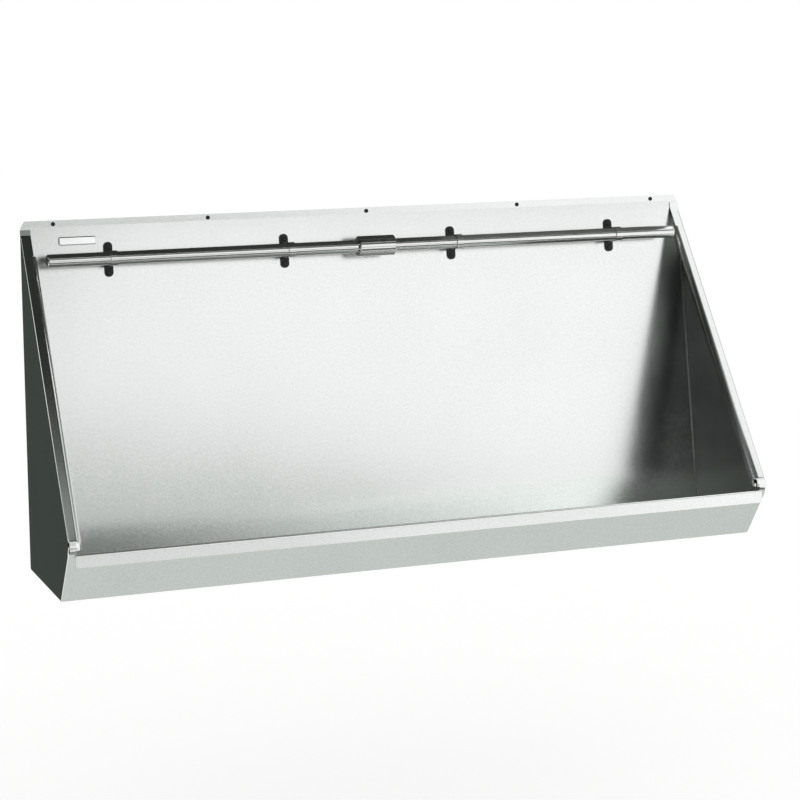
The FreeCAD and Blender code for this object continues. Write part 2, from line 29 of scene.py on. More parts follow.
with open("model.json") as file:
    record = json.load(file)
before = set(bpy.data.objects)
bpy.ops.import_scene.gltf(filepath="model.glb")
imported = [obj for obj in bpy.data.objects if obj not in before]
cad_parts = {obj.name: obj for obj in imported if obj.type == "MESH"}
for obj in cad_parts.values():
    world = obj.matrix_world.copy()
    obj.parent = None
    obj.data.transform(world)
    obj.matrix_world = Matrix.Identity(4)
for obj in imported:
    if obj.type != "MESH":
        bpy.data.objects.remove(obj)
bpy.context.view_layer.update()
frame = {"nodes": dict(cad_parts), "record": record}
nodes = frame["nodes"]
mm = 0.001
bodyOf = {node: body for body, members in frame["record"]["behaviour"]["bodies"].items() for node in members}
slotOf = {part["node"]: part["material_slot"] for part in frame["record"]["subparts"]}
print("frame loaded:", len(nodes), "nodes")


# Shader sockets with Python maths

class Wire:
    def __init__(self, tree, socket=None):
        self.tree = tree
        self.socket = socket

    def node(self, kind, settings=None, sockets=None, out=0):
        made = self.tree.nodes.new(kind)
        for key, value in (settings or {}).items():
            setattr(made, key, value)
        for key, value in (sockets or {}).items():
            if isinstance(value, Wire):
                self.tree.links.new(value.socket, made.inputs[key])
            else:
                made.inputs[key].default_value = value
        return Wire(self.tree, made.outputs[out])

    def sums(self, operation, first, second):
        return self.node("ShaderNodeMath", {"operation": operation}, {0: first, 1: second})

    def __add__(self, other):
        return self.sums("ADD", self, other)

    def __radd__(self, other):
        return self.sums("ADD", other, self)

    def __sub__(self, other):
        return self.sums("SUBTRACT", self, other)

    def __rsub__(self, other):
        return self.sums("SUBTRACT", other, self)

    def __mul__(self, other):
        return self.sums("MULTIPLY", self, other)

    def __rmul__(self, other):
        return self.sums("MULTIPLY", other, self)

    def clipped(self, low, high):
        return self.node("ShaderNodeMapRange", {"clamp": True},
                         {"Value": self, "From Min": low, "From Max": high, "To Min": 0.0, "To Max": 1.0})

    def mixed(self, first, second):
        return self.node("ShaderNodeMix", {"data_type": "RGBA"}, {0: self, 6: first, 7: second}, 2)

    def tint(self, first, second):
        return self.mixed((*first, 1), (*second, 1))

    def spot(self, stretch=(1, 1, 1)):
        place = self.node("ShaderNodeTexCoord", out="Object")
        return self.node("ShaderNodeMapping", {}, {"Vector": place, "Scale": stretch})

    def noise(self, scale, detail, stretch=(1, 1, 1)):
        return self.node("ShaderNodeTexNoise", {},
                         {"Vector": self.spot(stretch), "Scale": scale, "Detail": detail})

    def cells(self, scale):
        return self.node("ShaderNodeTexVoronoi", {"feature": "F1"}, {"Vector": self.spot(), "Scale": scale})

    def bump(self, height, depth):
        return self.node("ShaderNodeBump", {}, {"Height": height, "Distance": depth, "Strength": 1.0})


def newFinish(name, metallic, sockets=None):
    finish = bpy.data.materials.new(name)
    finish.use_nodes = True
    shader = finish.node_tree.nodes["Principled BSDF"]
    shader.inputs["Metallic"].default_value = metallic
    for key, value in (sockets or {}).items():
        shader.inputs[key].default_value = value
    return finish, shader, Wire(finish.node_tree)


def join(shader, colour, roughness, normal):
    for key, wire in (("Base Color", colour), ("Roughness", roughness), ("Normal", normal)):
        wire.tree.links.new(wire.socket, shader.inputs[key])


def coloured(tone, s):
    return tone.clipped(*s["contrast"]).tint(*s["colours"])


# Finishes. Each texture is its scale, its detail and, where it is drawn out, its stretch.

satinSteel = {
    "colours": ((0.73, 0.755, 0.74), (0.87, 0.88, 0.875)),
    "contrast": (0.33, 0.67),
    "roughness": 0.20,
    "lines": (60.0, 3.0),
    "mottle": (330.0, 3.0),
    "cloud": (5.0, 2.0),
    "smear": (14.0, 4.0, (1, 1, 0.35)),
    "depth": 0.010 * mm,
}
# The end panels' steel, rolled a little brighter
endSteel = dict(satinSteel, roughness=0.125)
# The left one's top tab, with a dull grey painted shade that stands in for the darker reflection it shows:
# height where that begins and height where it is full
shadedTabEnd = dict(endSteel, dressedFrom=-22.5 * mm, dressedFull=-20.5 * mm, dressedColour=(0.36, 0.39, 0.37),
                  dressedRoughness=0.2)


def satinSheet(name, stretch, s=satinSteel):
    finish, shader, w = newFinish(name, 1.0)
    lines = w.noise(*s["lines"], stretch)
    mottle = w.noise(*s["mottle"])
    cloud = w.noise(*s["cloud"])
    smear = w.noise(*s["smear"])
    tone = 0.25 * cloud + 0.55 * mottle + 0.10 * lines + 0.10 * smear
    roughness = (s["roughness"] + 0.10 * (mottle - 0.5) + 0.07 * (cloud - 0.5) + 0.05 * (lines - 0.5)
                 + 0.06 * (smear - 0.5))
    colour = coloured(tone, s)
    # Painted shade: above a height the left end panel's top tab turns a duller, rougher grey in place of its
    # darker reflection
    if "dressedFrom" in s:
        height = w.node("ShaderNodeSeparateXYZ", {}, {"Vector": w.spot()}, "Z")
        paintedShade = height.clipped(s["dressedFrom"], s["dressedFull"])
        colour = paintedShade.mixed(colour, (*s["dressedColour"], 1))
        roughness = roughness + s["dressedRoughness"] * paintedShade
    join(shader, colour, roughness, w.bump(0.5 * lines + 0.5 * mottle, s["depth"]))
    return finish


polishedTube = {
    "colours": ((0.72, 0.73, 0.72), (0.83, 0.83, 0.82)),
    "contrast": (0.33, 0.67),
    "roughness": 0.15,
    "drawn": (70.0, 3.0),
    "scuff": (45.0, 4.0),
    "haze": (420.0, 2.0),
    "depth": 0.006 * mm,
}


def drawnTube(name, stretch):
    s = polishedTube
    finish, shader, w = newFinish(name, 1.0)
    drawn = w.noise(*s["drawn"], stretch)
    scuff = w.noise(*s["scuff"])
    haze = w.noise(*s["haze"])
    tone = 0.5 * drawn + 0.3 * scuff + 0.2 * haze
    roughness = s["roughness"] + 0.07 * (drawn - 0.5) + 0.08 * (scuff - 0.5)
    join(shader, coloured(tone, s), roughness, w.bump(drawn, s["depth"]))
    return finish


# Dressed bead: fine ripples along the seam, heat-greyed
greyedWeld = {
    "colours": ((0.28, 0.29, 0.28), (0.38, 0.39, 0.38)),
    "contrast": (0.3, 0.7),
    "roughness": 0.30,
    "ripple": (420.0, 1.0, (1, 1.6, 1.6)),
    "haze": (60.0, 3.0),
    "depth": 0.012 * mm,
}


def weldMetal():
    s = greyedWeld
    finish, shader, w = newFinish("weldMetal", 1.0)
    ripple = w.noise(*s["ripple"])
    haze = w.noise(*s["haze"])
    tone = 0.5 * ripple + 0.5 * haze
    roughness = s["roughness"] + 0.12 * (haze - 0.5)
    join(shader, coloured(tone, s), roughness, w.bump(ripple, s["depth"]))
    return finish


clipNylon = {
    "colours": ((0.012, 0.013, 0.013), (0.050, 0.052, 0.050)),
    "contrast": (0.3, 0.8),
    "roughness": 0.44,
    "specular": 0.42,
    "grain": (1400.0, 2.0),
    "flow": (90.0, 4.0, (1, 1, 2)),
    "dust": (260.0, 5.0),
    "dustLimits": (0.56, 0.78),
    "depth": 0.030 * mm,
}


def mouldedNylon():
    s = clipNylon
    finish, shader, w = newFinish("mouldedNylon", 0.0, {"Specular IOR Level": s["specular"]})
    grain = w.noise(*s["grain"])
    flow = w.noise(*s["flow"])
    dust = w.noise(*s["dust"]).clipped(*s["dustLimits"])
    tone = 0.55 * flow + 0.30 * grain + 0.25 * dust
    roughness = s["roughness"] + 0.16 * (flow - 0.5) + 0.16 * dust
    join(shader, coloured(tone, s), roughness, w.bump(grain, s["depth"]))
    return finish


gasketRubber = {
    "colours": ((0.014, 0.014, 0.014), (0.055, 0.055, 0.053)),
    "contrast": (0.35, 0.7),
    "roughness": 0.70,
    "specular": 0.35,
    "bloom": (120.0, 4.0),
    "grain": (1800.0, 2.0),
    "depth": 0.025 * mm,
}


def blackRubber():
    s = gasketRubber
    finish, shader, w = newFinish("blackRubber", 0.0, {"Specular IOR Level": s["specular"]})
    bloom = w.noise(*s["bloom"])
    grain = w.noise(*s["grain"])
    tone = 0.7 * bloom + 0.3 * grain
    roughness = s["roughness"] + 0.18 * (bloom - 0.5)
    join(shader, coloured(tone, s), roughness, w.bump(grain, s["depth"]))
    return finish


# Turned faces with a dull film in patches
turnedBrass = {
    "colours": ((0.47, 0.33, 0.13), (0.80, 0.62, 0.31)),
    "contrast": (0.33, 0.66),
    "roughness": 0.27,
    "turned": (55.0, 2.0, (1, 1, 45)),
    "film": (38.0, 5.0),
    "pits": (900.0, 2.0),
    "depth": 0.015 * mm,
}


def machinedBrass():
    s = turnedBrass
    finish, shader, w = newFinish("machinedBrass", 1.0)
    turned = w.noise(*s["turned"])
    film = w.noise(*s["film"])
    pits = w.noise(*s["pits"])
    tone = 0.5 * film + 0.3 * turned + 0.2 * pits
    roughness = s["roughness"] + 0.20 * (film - 0.4) + 0.08 * (turned - 0.5)
    join(shader, coloured(tone, s), roughness, w.bump(turned, s["depth"]))
    return finish


blackScrew = {
    "colours": ((0.018, 0.019, 0.019), (0.13, 0.13, 0.125)),
    "contrast": (0.0, 1.0),
    "metallic": 0.55,
    "roughness": 0.42,
    "worn": (700.0, 4.0),
    "wornLimits": (0.60, 0.74),
    "bloom": (160.0, 3.0),
    "depth": 0.02 * mm,
}


def blackedSteel():
    s = blackScrew
    finish, shader, w = newFinish("blackedSteel", s["metallic"])
    worn = w.noise(*s["worn"]).clipped(*s["wornLimits"])
    bloom = w.noise(*s["bloom"])
    tone = 0.75 * worn + 0.35 * bloom
    roughness = s["roughness"] + 0.16 * (bloom - 0.5) - 0.10 * worn
    join(shader, coloured(tone, s), roughness, w.bump(bloom, s["depth"]))
    return finish


steelFastener = {
    "colours": ((0.50, 0.50, 0.49), (0.74, 0.74, 0.72)),
    "contrast": (0.33, 0.67),
    "roughness": 0.33,
    "film": (210.0, 4.0),
    "turned": (130.0, 2.0, (1, 12, 12)),
    "depth": 0.012 * mm,
}


def plainFastener():
    s = steelFastener
    finish, shader, w = newFinish("plainFastener", 1.0)
    film = w.noise(*s["film"])
    turned = w.noise(*s["turned"])
    tone = 0.6 * film + 0.4 * turned
    roughness = s["roughness"] + 0.16 * (film - 0.5)
    join(shader, coloured(tone, s), roughness, w.bump(turned, s["depth"]))
    return finish


# Plated brass with dried water marks, which are the second colour
platedBrass = {
    "colours": ((0.86, 0.865, 0.87), (0.70, 0.70, 0.69)),
    "contrast": (0.0, 0.9),
    "roughness": 0.07,
    "markScale": 170.0,
    "markLimits": (0.10, 0.34),
    "scale": (24.0, 5.0),
    "scaleLimits": (0.48, 0.70),
    "hair": (260.0, 2.0, (1, 1, 9)),
    "depth": 0.003 * mm,
}


def brightChrome():
    s = platedBrass
    finish, shader, w = newFinish("brightChrome", 1.0)
    marks = 1.0 - w.cells(s["markScale"]).clipped(*s["markLimits"])
    scale = w.noise(*s["scale"]).clipped(*s["scaleLimits"])
    hair = w.noise(*s["hair"])
    dull = marks * scale
    tone = 0.8 * dull + 0.2 * hair
    roughness = s["roughness"] + 0.20 * dull + 0.05 * (hair - 0.5)
    join(shader, coloured(tone, s), roughness, w.bump(hair, s["depth"]))
    return finish


# Filled bitumen sheet with a talc bloom
bitumenSheet = {
    "colours": ((0.035, 0.035, 0.036), (0.15, 0.148, 0.142)),
    "contrast": (0.34, 0.68),
    "roughness": 0.78,
    "specular": 0.3,
    "filler": (1100.0, 3.0),
    "bloom": (22.0, 5.0),
    "depth": 0.08 * mm,
}


def dampingSheet():
    s = bitumenSheet
    finish, shader, w = newFinish("dampingSheet", 0.0, {"Specular IOR Level": s["specular"]})
    filler = w.noise(*s["filler"])
    bloom = w.noise(*s["bloom"])
    tone = 0.55 * bloom + 0.45 * filler
    roughness = s["roughness"] + 0.2 * (bloom - 0.5)
    join(shader, coloured(tone, s), roughness, w.bump(filler, s["depth"]))
    return finish


brushedPlate = {
    "colours": ((0.95, 0.955, 0.95), (0.99, 0.99, 0.985)),
    "contrast": (0.33, 0.67),
    "roughness": 0.18,
    "lines": (90.0, 3.0, (1, 40, 40)),
    "haze": (150.0, 3.0),
    "depth": 0.006 * mm,
}


def plateMetal():
    s = brushedPlate
    finish, shader, w = newFinish("plateMetal", 1.0)
    lines = w.noise(*s["lines"])
    haze = w.noise(*s["haze"])
    tone = 0.6 * lines + 0.4 * haze
    roughness = s["roughness"] + 0.08 * (lines - 0.5) + 0.06 * (haze - 0.5)
    join(shader, coloured(tone, s), roughness, w.bump(lines, s["depth"]))
    return finish


# The grain of the sheet and the tube runs along the axes with the smallest number
sheetAlong = satinSheet("satinSheetAlong", (1, 30, 30))
sheetAcross = satinSheet("satinSheetAcross", (30, 1, 30), endSteel)
shadedTabAcross = satinSheet("dressedSheetAcross", (30, 1, 30), shadedTabEnd)
sheetUpright = satinSheet("satinSheetUpright", (30, 30, 1))
tubeFinish = drawnTube("drawnTube", (1, 40, 40))
strapFinish = drawnTube("strapSteel", (40, 4, 4))
weldFinish = weldMetal()
slotFinish = {
    "satin_steel": sheetAlong,
    "polished_steel": tubeFinish,
    "black_nylon": mouldedNylon(),
    "black_rubber": blackRubber(),
    "plain_brass": machinedBrass(),
    "dark_screws": blackedSteel(),
    "plain_fasteners": plainFastener(),
    "chromed_brass": brightChrome(),
    "damping_sheet": dampingSheet(),
    "blank_plate": plateMetal(),
}
nodeFinish = {node: slotFinish[slot] for node, slot in slotOf.items()}
# The left end panel carries the painted shade on its top tab
nodeFinish["end_panel_left"] = shadedTabAcross
nodeFinish["end_panel_right"] = sheetAcross
for side in ("left", "right"):
    nodeFinish["rear_stay_" + side] = sheetUpright
clipNumbers = range(1, 5)
for number in clipNumbers:
    nodeFinish["clip_strap_%d" % number] = strapFinish
for node, piece in nodes.items():
    piece.data.materials.clear()
    piece.data.materials.append(nodeFinish[node])
print("finishes made:", len(bpy.data.materials))


# Pieces

# Points nearer than the gap, in millimetres, and faces flatter than the bend, in degrees, become one
merging = {"gap": 0.002, "bend": 1.0}
# Edges sharper than the first, in degrees, are eased, and what is sharper than the second is shaded so
usualFold = 35.0
usualSharp = 40.0


def pieceName(node):
    first, *rest = node.split("_")
    return first + "".join(word.capitalize() for word in rest)


def placePiece(bm, name, body, finish, sharpAngle=usualSharp):
    bmesh.ops.recalc_face_normals(bm, faces=bm.faces)
    for face in bm.faces:
        face.smooth = True
    mesh = bpy.data.meshes.new(name)
    bm.to_mesh(mesh)
    bm.free()
    mesh.set_sharp_from_angle(angle=math.radians(sharpAngle))
    mesh.materials.append(finish)
    piece = bpy.data.objects.new(name, mesh)
    bpy.context.scene.collection.objects.link(piece)
    evened = piece.modifiers.new("evenShading", "WEIGHTED_NORMAL")
    evened.mode = "FACE_AREA"
    evened.weight = 100
    evened.keep_sharp = True
    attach(piece, body)
    return piece


def standIn(bm, node, sharpAngle=usualSharp):
    piece = placePiece(bm, pieceName(node), bodyOf[node], nodeFinish[node], sharpAngle)
    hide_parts(node)


def mergedCopy(node):
    bm = bmesh.new()
    bm.from_mesh(nodes[node].data)
    bmesh.ops.remove_doubles(bm, verts=bm.verts, dist=merging["gap"] * mm)
    bmesh.ops.dissolve_limit(bm, angle_limit=math.radians(merging["bend"]), verts=bm.verts, edges=bm.edges)
    return bm


def roundOff(bm, geom, width, segments, affect="EDGES", clamp=False):
    bmesh.ops.bevel(bm, geom=geom, offset=width * mm, offset_type="OFFSET", segments=segments, profile=0.5,
                    affect=affect, clamp_overlap=clamp, material=-1)


def easeEdges(bm, width, fold=usualFold):
    edges = [edge for edge in bm.edges if edge.is_manifold and edge.calc_face_angle() > math.radians(fold)]
    roundOff(bm, edges, width, 2, clamp=True)


# Broken edges, in millimetres: cut sheet, turned metal, mouldings
easedEdge = {
    "back_panel": 0.35, "trough_channel": 0.35, "front_lip": 0.4, "front_apron": 0.4,
    "end_panel_left": 0.35, "end_panel_right": 0.35, "rear_stay_left": 0.4, "rear_stay_right": 0.4,
    "earth_tag": 0.3, "sparge_pipe_left": 0.25, "sparge_pipe_right": 0.25, "pipe_cap_left": 0.3,
    "pipe_cap_right": 0.3, "inlet_tee": 0.35, "inlet_backnut": 0.45, "waste_backnut": 0.6,
    "clip_screws": 0.2, "clip_nuts": 0.3, "earth_screw": 0.4, "earth_nut": 0.35,
    "waste_body": 0.35, "waste_grating": 0.35, "inlet_gasket": 0.3, "waste_gasket_upper": 0.25,
    "waste_gasket_lower": 0.35,
}
for number in clipNumbers:
    easedEdge["clip_base_%d" % number] = 0.6
    easedEdge["clip_strap_%d" % number] = 0.35
# Folds shallower than the usual limit, in degrees, that are eased too
shallowFold = {"end_panel_left": 24.0, "end_panel_right": 24.0}
for node, width in easedEdge.items():
    bm = mergedCopy(node)
    easeEdges(bm, width, shallowFold.get(node, usualFold))
    standIn(bm, node)
print("edges eased on", len(easedEdge), "pieces")


# Places on the leaning back panel: x along it, y up it, z out of it
leaningPanel = {"lean": 6.8, "bendHeight": 566.0, "sheet": 1.5, "rowHeight": 571.0}


def panelFace(height):
    p = leaningPanel
    return -p["sheet"] - math.tan(math.radians(p["lean"])) * (p["bendHeight"] - height)


def onPanel(x, height):
    p = leaningPanel
    place = Matrix.Translation(Vector((x, panelFace(height), height - p["rowHeight"])) * mm)
    return place @ Matrix.Rotation(math.radians(90 - p["lean"]), 4, "X")


# Fixing bushes, each with a thin skin across its bore that the screw breaks
fixingBush = {
    "places": (-545.0, -282.5, 0.0, 282.5, 545.0),
    "bore": 2.1,
    "overlap": 0.05,
    "skin": 0.4,
    "depth": 0.9,
    "edge": 0.3,
    "segments": 24,
}


def makeBushes():
    b = fixingBush
    bm = mergedCopy("fixing_bushes")
    easeEdges(bm, b["edge"])
    radius = (b["bore"] + b["overlap"]) * mm
    for x in b["places"]:
        place = Matrix.Translation(Vector((x, -b["depth"], 0)) * mm)
        place = place @ Matrix.Rotation(math.radians(90), 4, "X")
        bmesh.ops.create_cone(bm, cap_ends=True, segments=b["segments"], radius1=radius, radius2=radius,
                              depth=b["skin"] * mm, matrix=place)
    standIn(bm, "fixing_bushes")


# Plate with a pressed face and a rounded edge
pressedPlate = {"edge": 1.7, "segments": 5}


def makePlate():
    p = pressedPlate
    bm = mergedCopy("blank_plate")
    bm.normal_update()
    front = max(bm.faces, key=lambda face: -face.normal.y * face.calc_area())
    roundOff(bm, front.edges[:], p["edge"], p["segments"], clamp=True)
    standIn(bm, "blank_plate")


# Damping pads with a waffle face
wafflePad = {
    "places": (-150.0, 150.0),
    "height": 250.0,
    "size": (220.0, 180.0),
    "thick": 4.0,
    "cells": (22, 18),
    "groove": 1.1,
    "rise": 0.7,
    "sharp": 30.0,
}


def makePads():
    p = wafflePad
    bm = bmesh.new()
    across, up = p["cells"]
    for x in p["places"]:
        rear = -leaningPanel["sheet"] - p["thick"]
        place = onPanel(x, p["height"]) @ Matrix.Translation((0, 0, (rear + p["rise"]) * mm))
        place = place @ Matrix.Diagonal((p["size"][0] * mm, p["size"][1] * mm, 1, 1))
        grid = bmesh.ops.create_grid(bm, x_segments=across, y_segments=up, size=0.5, matrix=place)
        rearFaces = list({face for vert in grid["verts"] for face in vert.link_faces})
        slab = bmesh.ops.extrude_face_region(bm, geom=rearFaces, use_keep_orig=True)
        raised = [item for item in slab["geom"] if isinstance(item, bmesh.types.BMVert)]
        out = onPanel(x, p["height"]).to_3x3() @ Vector((0, 0, (p["thick"] - p["rise"]) * mm))
        bmesh.ops.translate(bm, verts=raised, vec=out)
        bmesh.ops.recalc_face_normals(bm, faces=bm.faces)
        bmesh.ops.inset_individual(bm, faces=rearFaces, thickness=p["groove"] * mm, depth=p["rise"] * mm)
    standIn(bm, "sound_pads", p["sharp"])


# Weld beads inside the trough, down the back corner and round the channel's ends
weldBead = {
    "inside": 598.5,
    "sunk": 0.2,
    "size": 1.1,
    "rounding": 0.9,
    "roundingSteps": 4,
    "backTop": 556.0,
    "floor": 14.0,
    "backCove": 9.0,
    "backSteps": 6,
    "frontCove": 20.0,
    "frontSteps": 8,
    "frontFoot": (236.0, 6.0),
    "frontHead": (306.0, 83.0),
    "frontTop": 73.0,
    "sharp": 60.0,
}


def frontFace(height):
    footOut, footHeight = weldBead["frontFoot"]
    headOut, headHeight = weldBead["frontHead"]
    slope = (headOut - footOut) / (headHeight - footHeight)
    return -footOut - slope * (height - footHeight)


def beadLine():
    b = weldBead
    return [(panelFace(b["backTop"]), b["backTop"]), (panelFace(b["floor"]), b["floor"]),
            (frontFace(b["floor"]), b["floor"]), (frontFace(b["frontTop"]), b["frontTop"])]


def makeBeads():
    b = weldBead
    for side, name in ((-1, "weldBeadLeft"), (1, "weldBeadRight")):
        bm = bmesh.new()
        x = side * (b["inside"] + b["sunk"])
        verts = [bm.verts.new(Vector((x, y, height - leaningPanel["rowHeight"])) * mm)
                 for y, height in beadLine()]
        for pair in zip(verts, verts[1:]):
            bm.edges.new(pair)
        roundOff(bm, [verts[1]], b["backCove"], b["backSteps"], "VERTICES")
        roundOff(bm, [verts[2]], b["frontCove"], b["frontSteps"], "VERTICES")
        ribbon = bmesh.ops.extrude_edge_only(bm, edges=bm.edges[:])
        moved = [item for item in ribbon["geom"] if isinstance(item, bmesh.types.BMVert)]
        bmesh.ops.translate(bm, verts=moved, vec=(-side * (b["size"] + b["sunk"]) * mm, 0, 0))
        bmesh.ops.recalc_face_normals(bm, faces=bm.faces)
        thick = bmesh.ops.solidify(bm, geom=bm.faces[:], thickness=b["size"] * mm)
        added = {item for item in thick["geom"] if isinstance(item, bmesh.types.BMVert)}
        inner = b["inside"] - b["size"] / 2
        nose = [edge for edge in bm.edges
                if all(vert in added and abs(vert.co.x) < inner * mm for vert in edge.verts)]
        roundOff(bm, nose, b["rounding"], b["roundingSteps"])
        placePiece(bm, name, "trough", weldFinish, b["sharp"])


# Screw threads: down the waste tail below its nut, and out along the inlet's bore
threads = {
    "wasteThread": {"node": "waste_body", "centre": (0, -132.0), "root": 23.2, "crest": 23.9, "pitch": 2.309,
                    "from": -11.2, "turns": 4.4, "way": -1},
    "inletThread": {"node": "inlet_tee", "height": 509.0, "root": 9.5, "crest": 8.75, "pitch": 1.814,
                    "from": -4.6, "turns": 8.0, "way": 1},
}
threadFlank = 0.42
stepsPerTurn = 40


def makeThread(name):
    t = threads[name]
    bm = bmesh.new()
    half = t["pitch"] * threadFlank
    section = [bm.verts.new(Vector((radius, 0, z)) * mm)
               for radius, z in ((t["root"], -half), (t["crest"], 0), (t["root"], half))]
    face = bm.faces.new(section)
    steps = int(t["turns"] * stepsPerTurn)
    rise = t["pitch"] * mm * t["turns"] / steps
    bmesh.ops.spin(bm, geom=[face, *face.edges, *section], cent=(0, 0, 0), axis=(0, 0, 1),
                   dvec=(0, 0, t["way"] * rise), angle=math.radians(360 * t["turns"]) * t["way"], steps=steps)
    if "centre" in t:
        x, y = t["centre"]
        place = Matrix.Translation(Vector((x, y, t["from"] - leaningPanel["rowHeight"])) * mm)
    else:
        place = onPanel(0, t["height"]) @ Matrix.Translation((0, 0, t["from"] * mm))
    bmesh.ops.transform(bm, matrix=place, verts=bm.verts)
    placePiece(bm, name, bodyOf[t["node"]], nodeFinish[t["node"]])


makeBushes()
makePlate()
makePads()
makeBeads()
for name in threads:
    makeThread(name)
print("details made")


# Studio: pale floor, white surround, one soft key, and dark, grey and bright flags that the steel mirrors

studio = {
    "floorHeight": -1.08,
    "floorSize": 60.0,
    "floorColour": (0.86, 0.86, 0.855),
    "floorRoughness": 0.9,
    "floorLift": 0.36,
    "fill": 0.75,
    "keyPlace": (2.2, -4.6, 0.55),
    "keyAim": (0.2, -0.1, -0.25),
    "keySize": (4.2, 2.6),
    "keyPower": 4.8,
    "curtainRadius": 3.4,
    "curtainSteps": 16,
}

# Curtains hang on a circle, in degrees from straight in front round by the left to straight behind
nearBlack = (0.003, 0.005, 0.003)
darkGrey = (0.054, 0.063, 0.055)
curtains = {
    "frontCurtain": {"from": 9.0, "to": 33.0, "foot": -1.05, "top": 1.9, "tone": nearBlack},
    "cornerCurtain": {"from": 33.0, "to": 70.0, "foot": -0.22, "top": 1.9, "tone": nearBlack},
    "sideCurtain": {"from": 70.0, "to": 87.0, "foot": studio["floorHeight"], "top": 1.5, "tone": darkGrey},
    "lowCurtain": {"from": 87.0, "to": 112.0, "foot": studio["floorHeight"], "top": 1.12, "tone": darkGrey},
    "rearCurtain": {"from": 112.0, "to": 176.0, "foot": studio["floorHeight"], "top": 1.5, "tone": darkGrey},
}

# Cards are flat: a level rectangle by its reach in x and y at height z, or any other shape by its corners
cards = {
    "topCard": {"tone": (0.026, 0.030, 0.027), "x": (-1.9, 0.62), "y": (-1.0, 2.0), "z": 1.35},
    "pipeCard": {"tone": (0.030, 0.034, 0.030), "x": (-0.62, 0.16), "y": (-0.17, 0.35), "z": 0.05},
    "pipeRightCard": {"tone": (0.085, 0.092, 0.085), "x": (0.16, 0.60), "y": (-0.17, 0.35), "z": 0.05},
    "highCard": {"tone": (0.10, 0.11, 0.10),
                 "corners": ((-0.6, -1.0, 0.26), (1.2, -1.0, 0.26), (1.2, -1.0, 0.72), (-0.15, -1.0, 0.72),
                             (-0.6, -1.0, 0.50))},
    "rightRollCard": {"tone": (0.03, 0.033, 0.03),
                      "corners": ((-1.2, -0.6, 0.38), (-1.2, 0.9, 0.38), (-1.2, 0.9, 1.1),
                                  (-1.2, -0.6, 1.1))},
    "leftRollCard": {"tone": (0.40, 0.42, 0.40),
                     "corners": ((2.6, -1.4, 1.0), (2.6, 2.6, 1.0), (2.6, 2.6, 3.0), (2.6, -1.4, 3.0))},
    "leftRollTopCard": {"tone": (0.22, 0.235, 0.22), "x": (0.6, 1.8), "y": (-2.0, -0.3), "z": 2.6},
    "rightEdgeCard": {"tone": (1.1, 1.1, 1.1),
                      "corners": ((1.9, -2.5, 2.6), (2.9, -2.5, 2.6), (2.9, -1.35, 2.6), (2.4, -1.1, 2.6),
                                  (1.9, -1.0, 2.6))},
    "tabCard": {"tone": (0.70, 0.72, 0.70),
                "corners": ((-0.6, -3.34, 0.36), (0.12, -3.34, 0.36), (0.40, -3.34, 3.4),
                            (-0.6, -3.34, 3.4))},
    "leftFloorCard": {"tone": (0.02, 0.022, 0.02), "x": (-2.8, -0.6), "y": (-3.2, -0.95), "z": -1.07},
    "pipeFloorCard": {"tone": (0.12, 0.13, 0.12), "x": (-0.33, 1.3), "y": (-1.9, -0.92), "z": -1.07},
    "shoulderFloorCard": {"tone": (0.34, 0.36, 0.34), "x": (-0.55, -0.33), "y": (-1.9, -0.92), "z": -1.07},
    "lipMiddleCard": {"tone": (1.06, 1.06, 1.06), "x": (0.0, 0.6), "y": (-3.35, -2.3), "z": -1.07},
    "lipCard": {"tone": (1.32, 1.32, 1.32), "x": (0.6, 2.9), "y": (-3.35, -2.3), "z": -1.07},
    "rightCard": {"tone": (0.05, 0.055, 0.05), "x": (0.62, 2.6), "y": (0.5, 2.2), "z": 1.35},
    "rearFloorCard": {"tone": darkGrey, "x": (-4.0, -0.45), "y": (0.5, 4.0), "z": -1.075},
    "apronFloorCard": {"tone": (0.66, 0.69, 0.66), "x": (-1.0, 1.5), "y": (-0.9, 0.2), "z": -1.075},
    "lowFrontCard": {"tone": (0.60, 0.62, 0.60),
                     "corners": ((-0.41, -3.38, -1.08), (1.9, -3.38, -1.08), (1.5, -3.38, -0.50),
                                 (0.9, -3.38, -0.24), (-0.41, -3.38, 0.0))},
}

# Strips overhead that the foot of the back panel mirrors by way of the front wall: x from, x to, tone
footSteps = ((-0.40, 0.02, 0.28), (0.02, 0.20, 0.48), (0.20, 0.40, 0.72), (0.40, 0.62, 0.98),
             (0.62, 0.85, 1.20), (0.85, 1.20, 1.48), (1.20, 1.70, 1.62))
for number, (left, right, tone) in enumerate(footSteps, start=1):
    cards["footCard%d" % number] = {
        "tone": (tone, tone * 1.03, tone), "x": (left, right), "y": (-0.48, 0.15), "z": 1.30}

# Strips in front of the top card that the left front edge mirrors down its length: y from, y to, tone
edgeSteps = ((-1.10, -1.00, 0.05), (-1.20, -1.10, 0.085), (-1.28, -1.20, 0.14), (-1.36, -1.28, 0.24),
             (-1.46, -1.36, 0.28))
for number, (front, rear, tone) in enumerate(edgeSteps, start=1):
    cards["edgeCard%d" % number] = {
        "tone": (tone, tone * 1.08, tone * 1.01), "x": cards["topCard"]["x"], "y": (front, rear),
        "z": cards["topCard"]["z"]}


def stageMesh(name, build):
    bm = bmesh.new()
    build(bm)
    mesh = bpy.data.meshes.new(name)
    bm.to_mesh(mesh)
    bm.free()
    piece = bpy.data.objects.new(name, mesh)
    bpy.context.scene.collection.objects.link(piece)
    return piece


# 1 for what is seen, straight or in a mirror, and 0 for the light that falls on things
def seen(w):
    straight = w.node("ShaderNodeLightPath", out="Is Camera Ray")
    mirrored = w.node("ShaderNodeLightPath", out="Is Glossy Ray")
    through = w.node("ShaderNodeLightPath", out="Is Transmission Ray")
    return (straight + mirrored + through).clipped(0.0, 1.0)


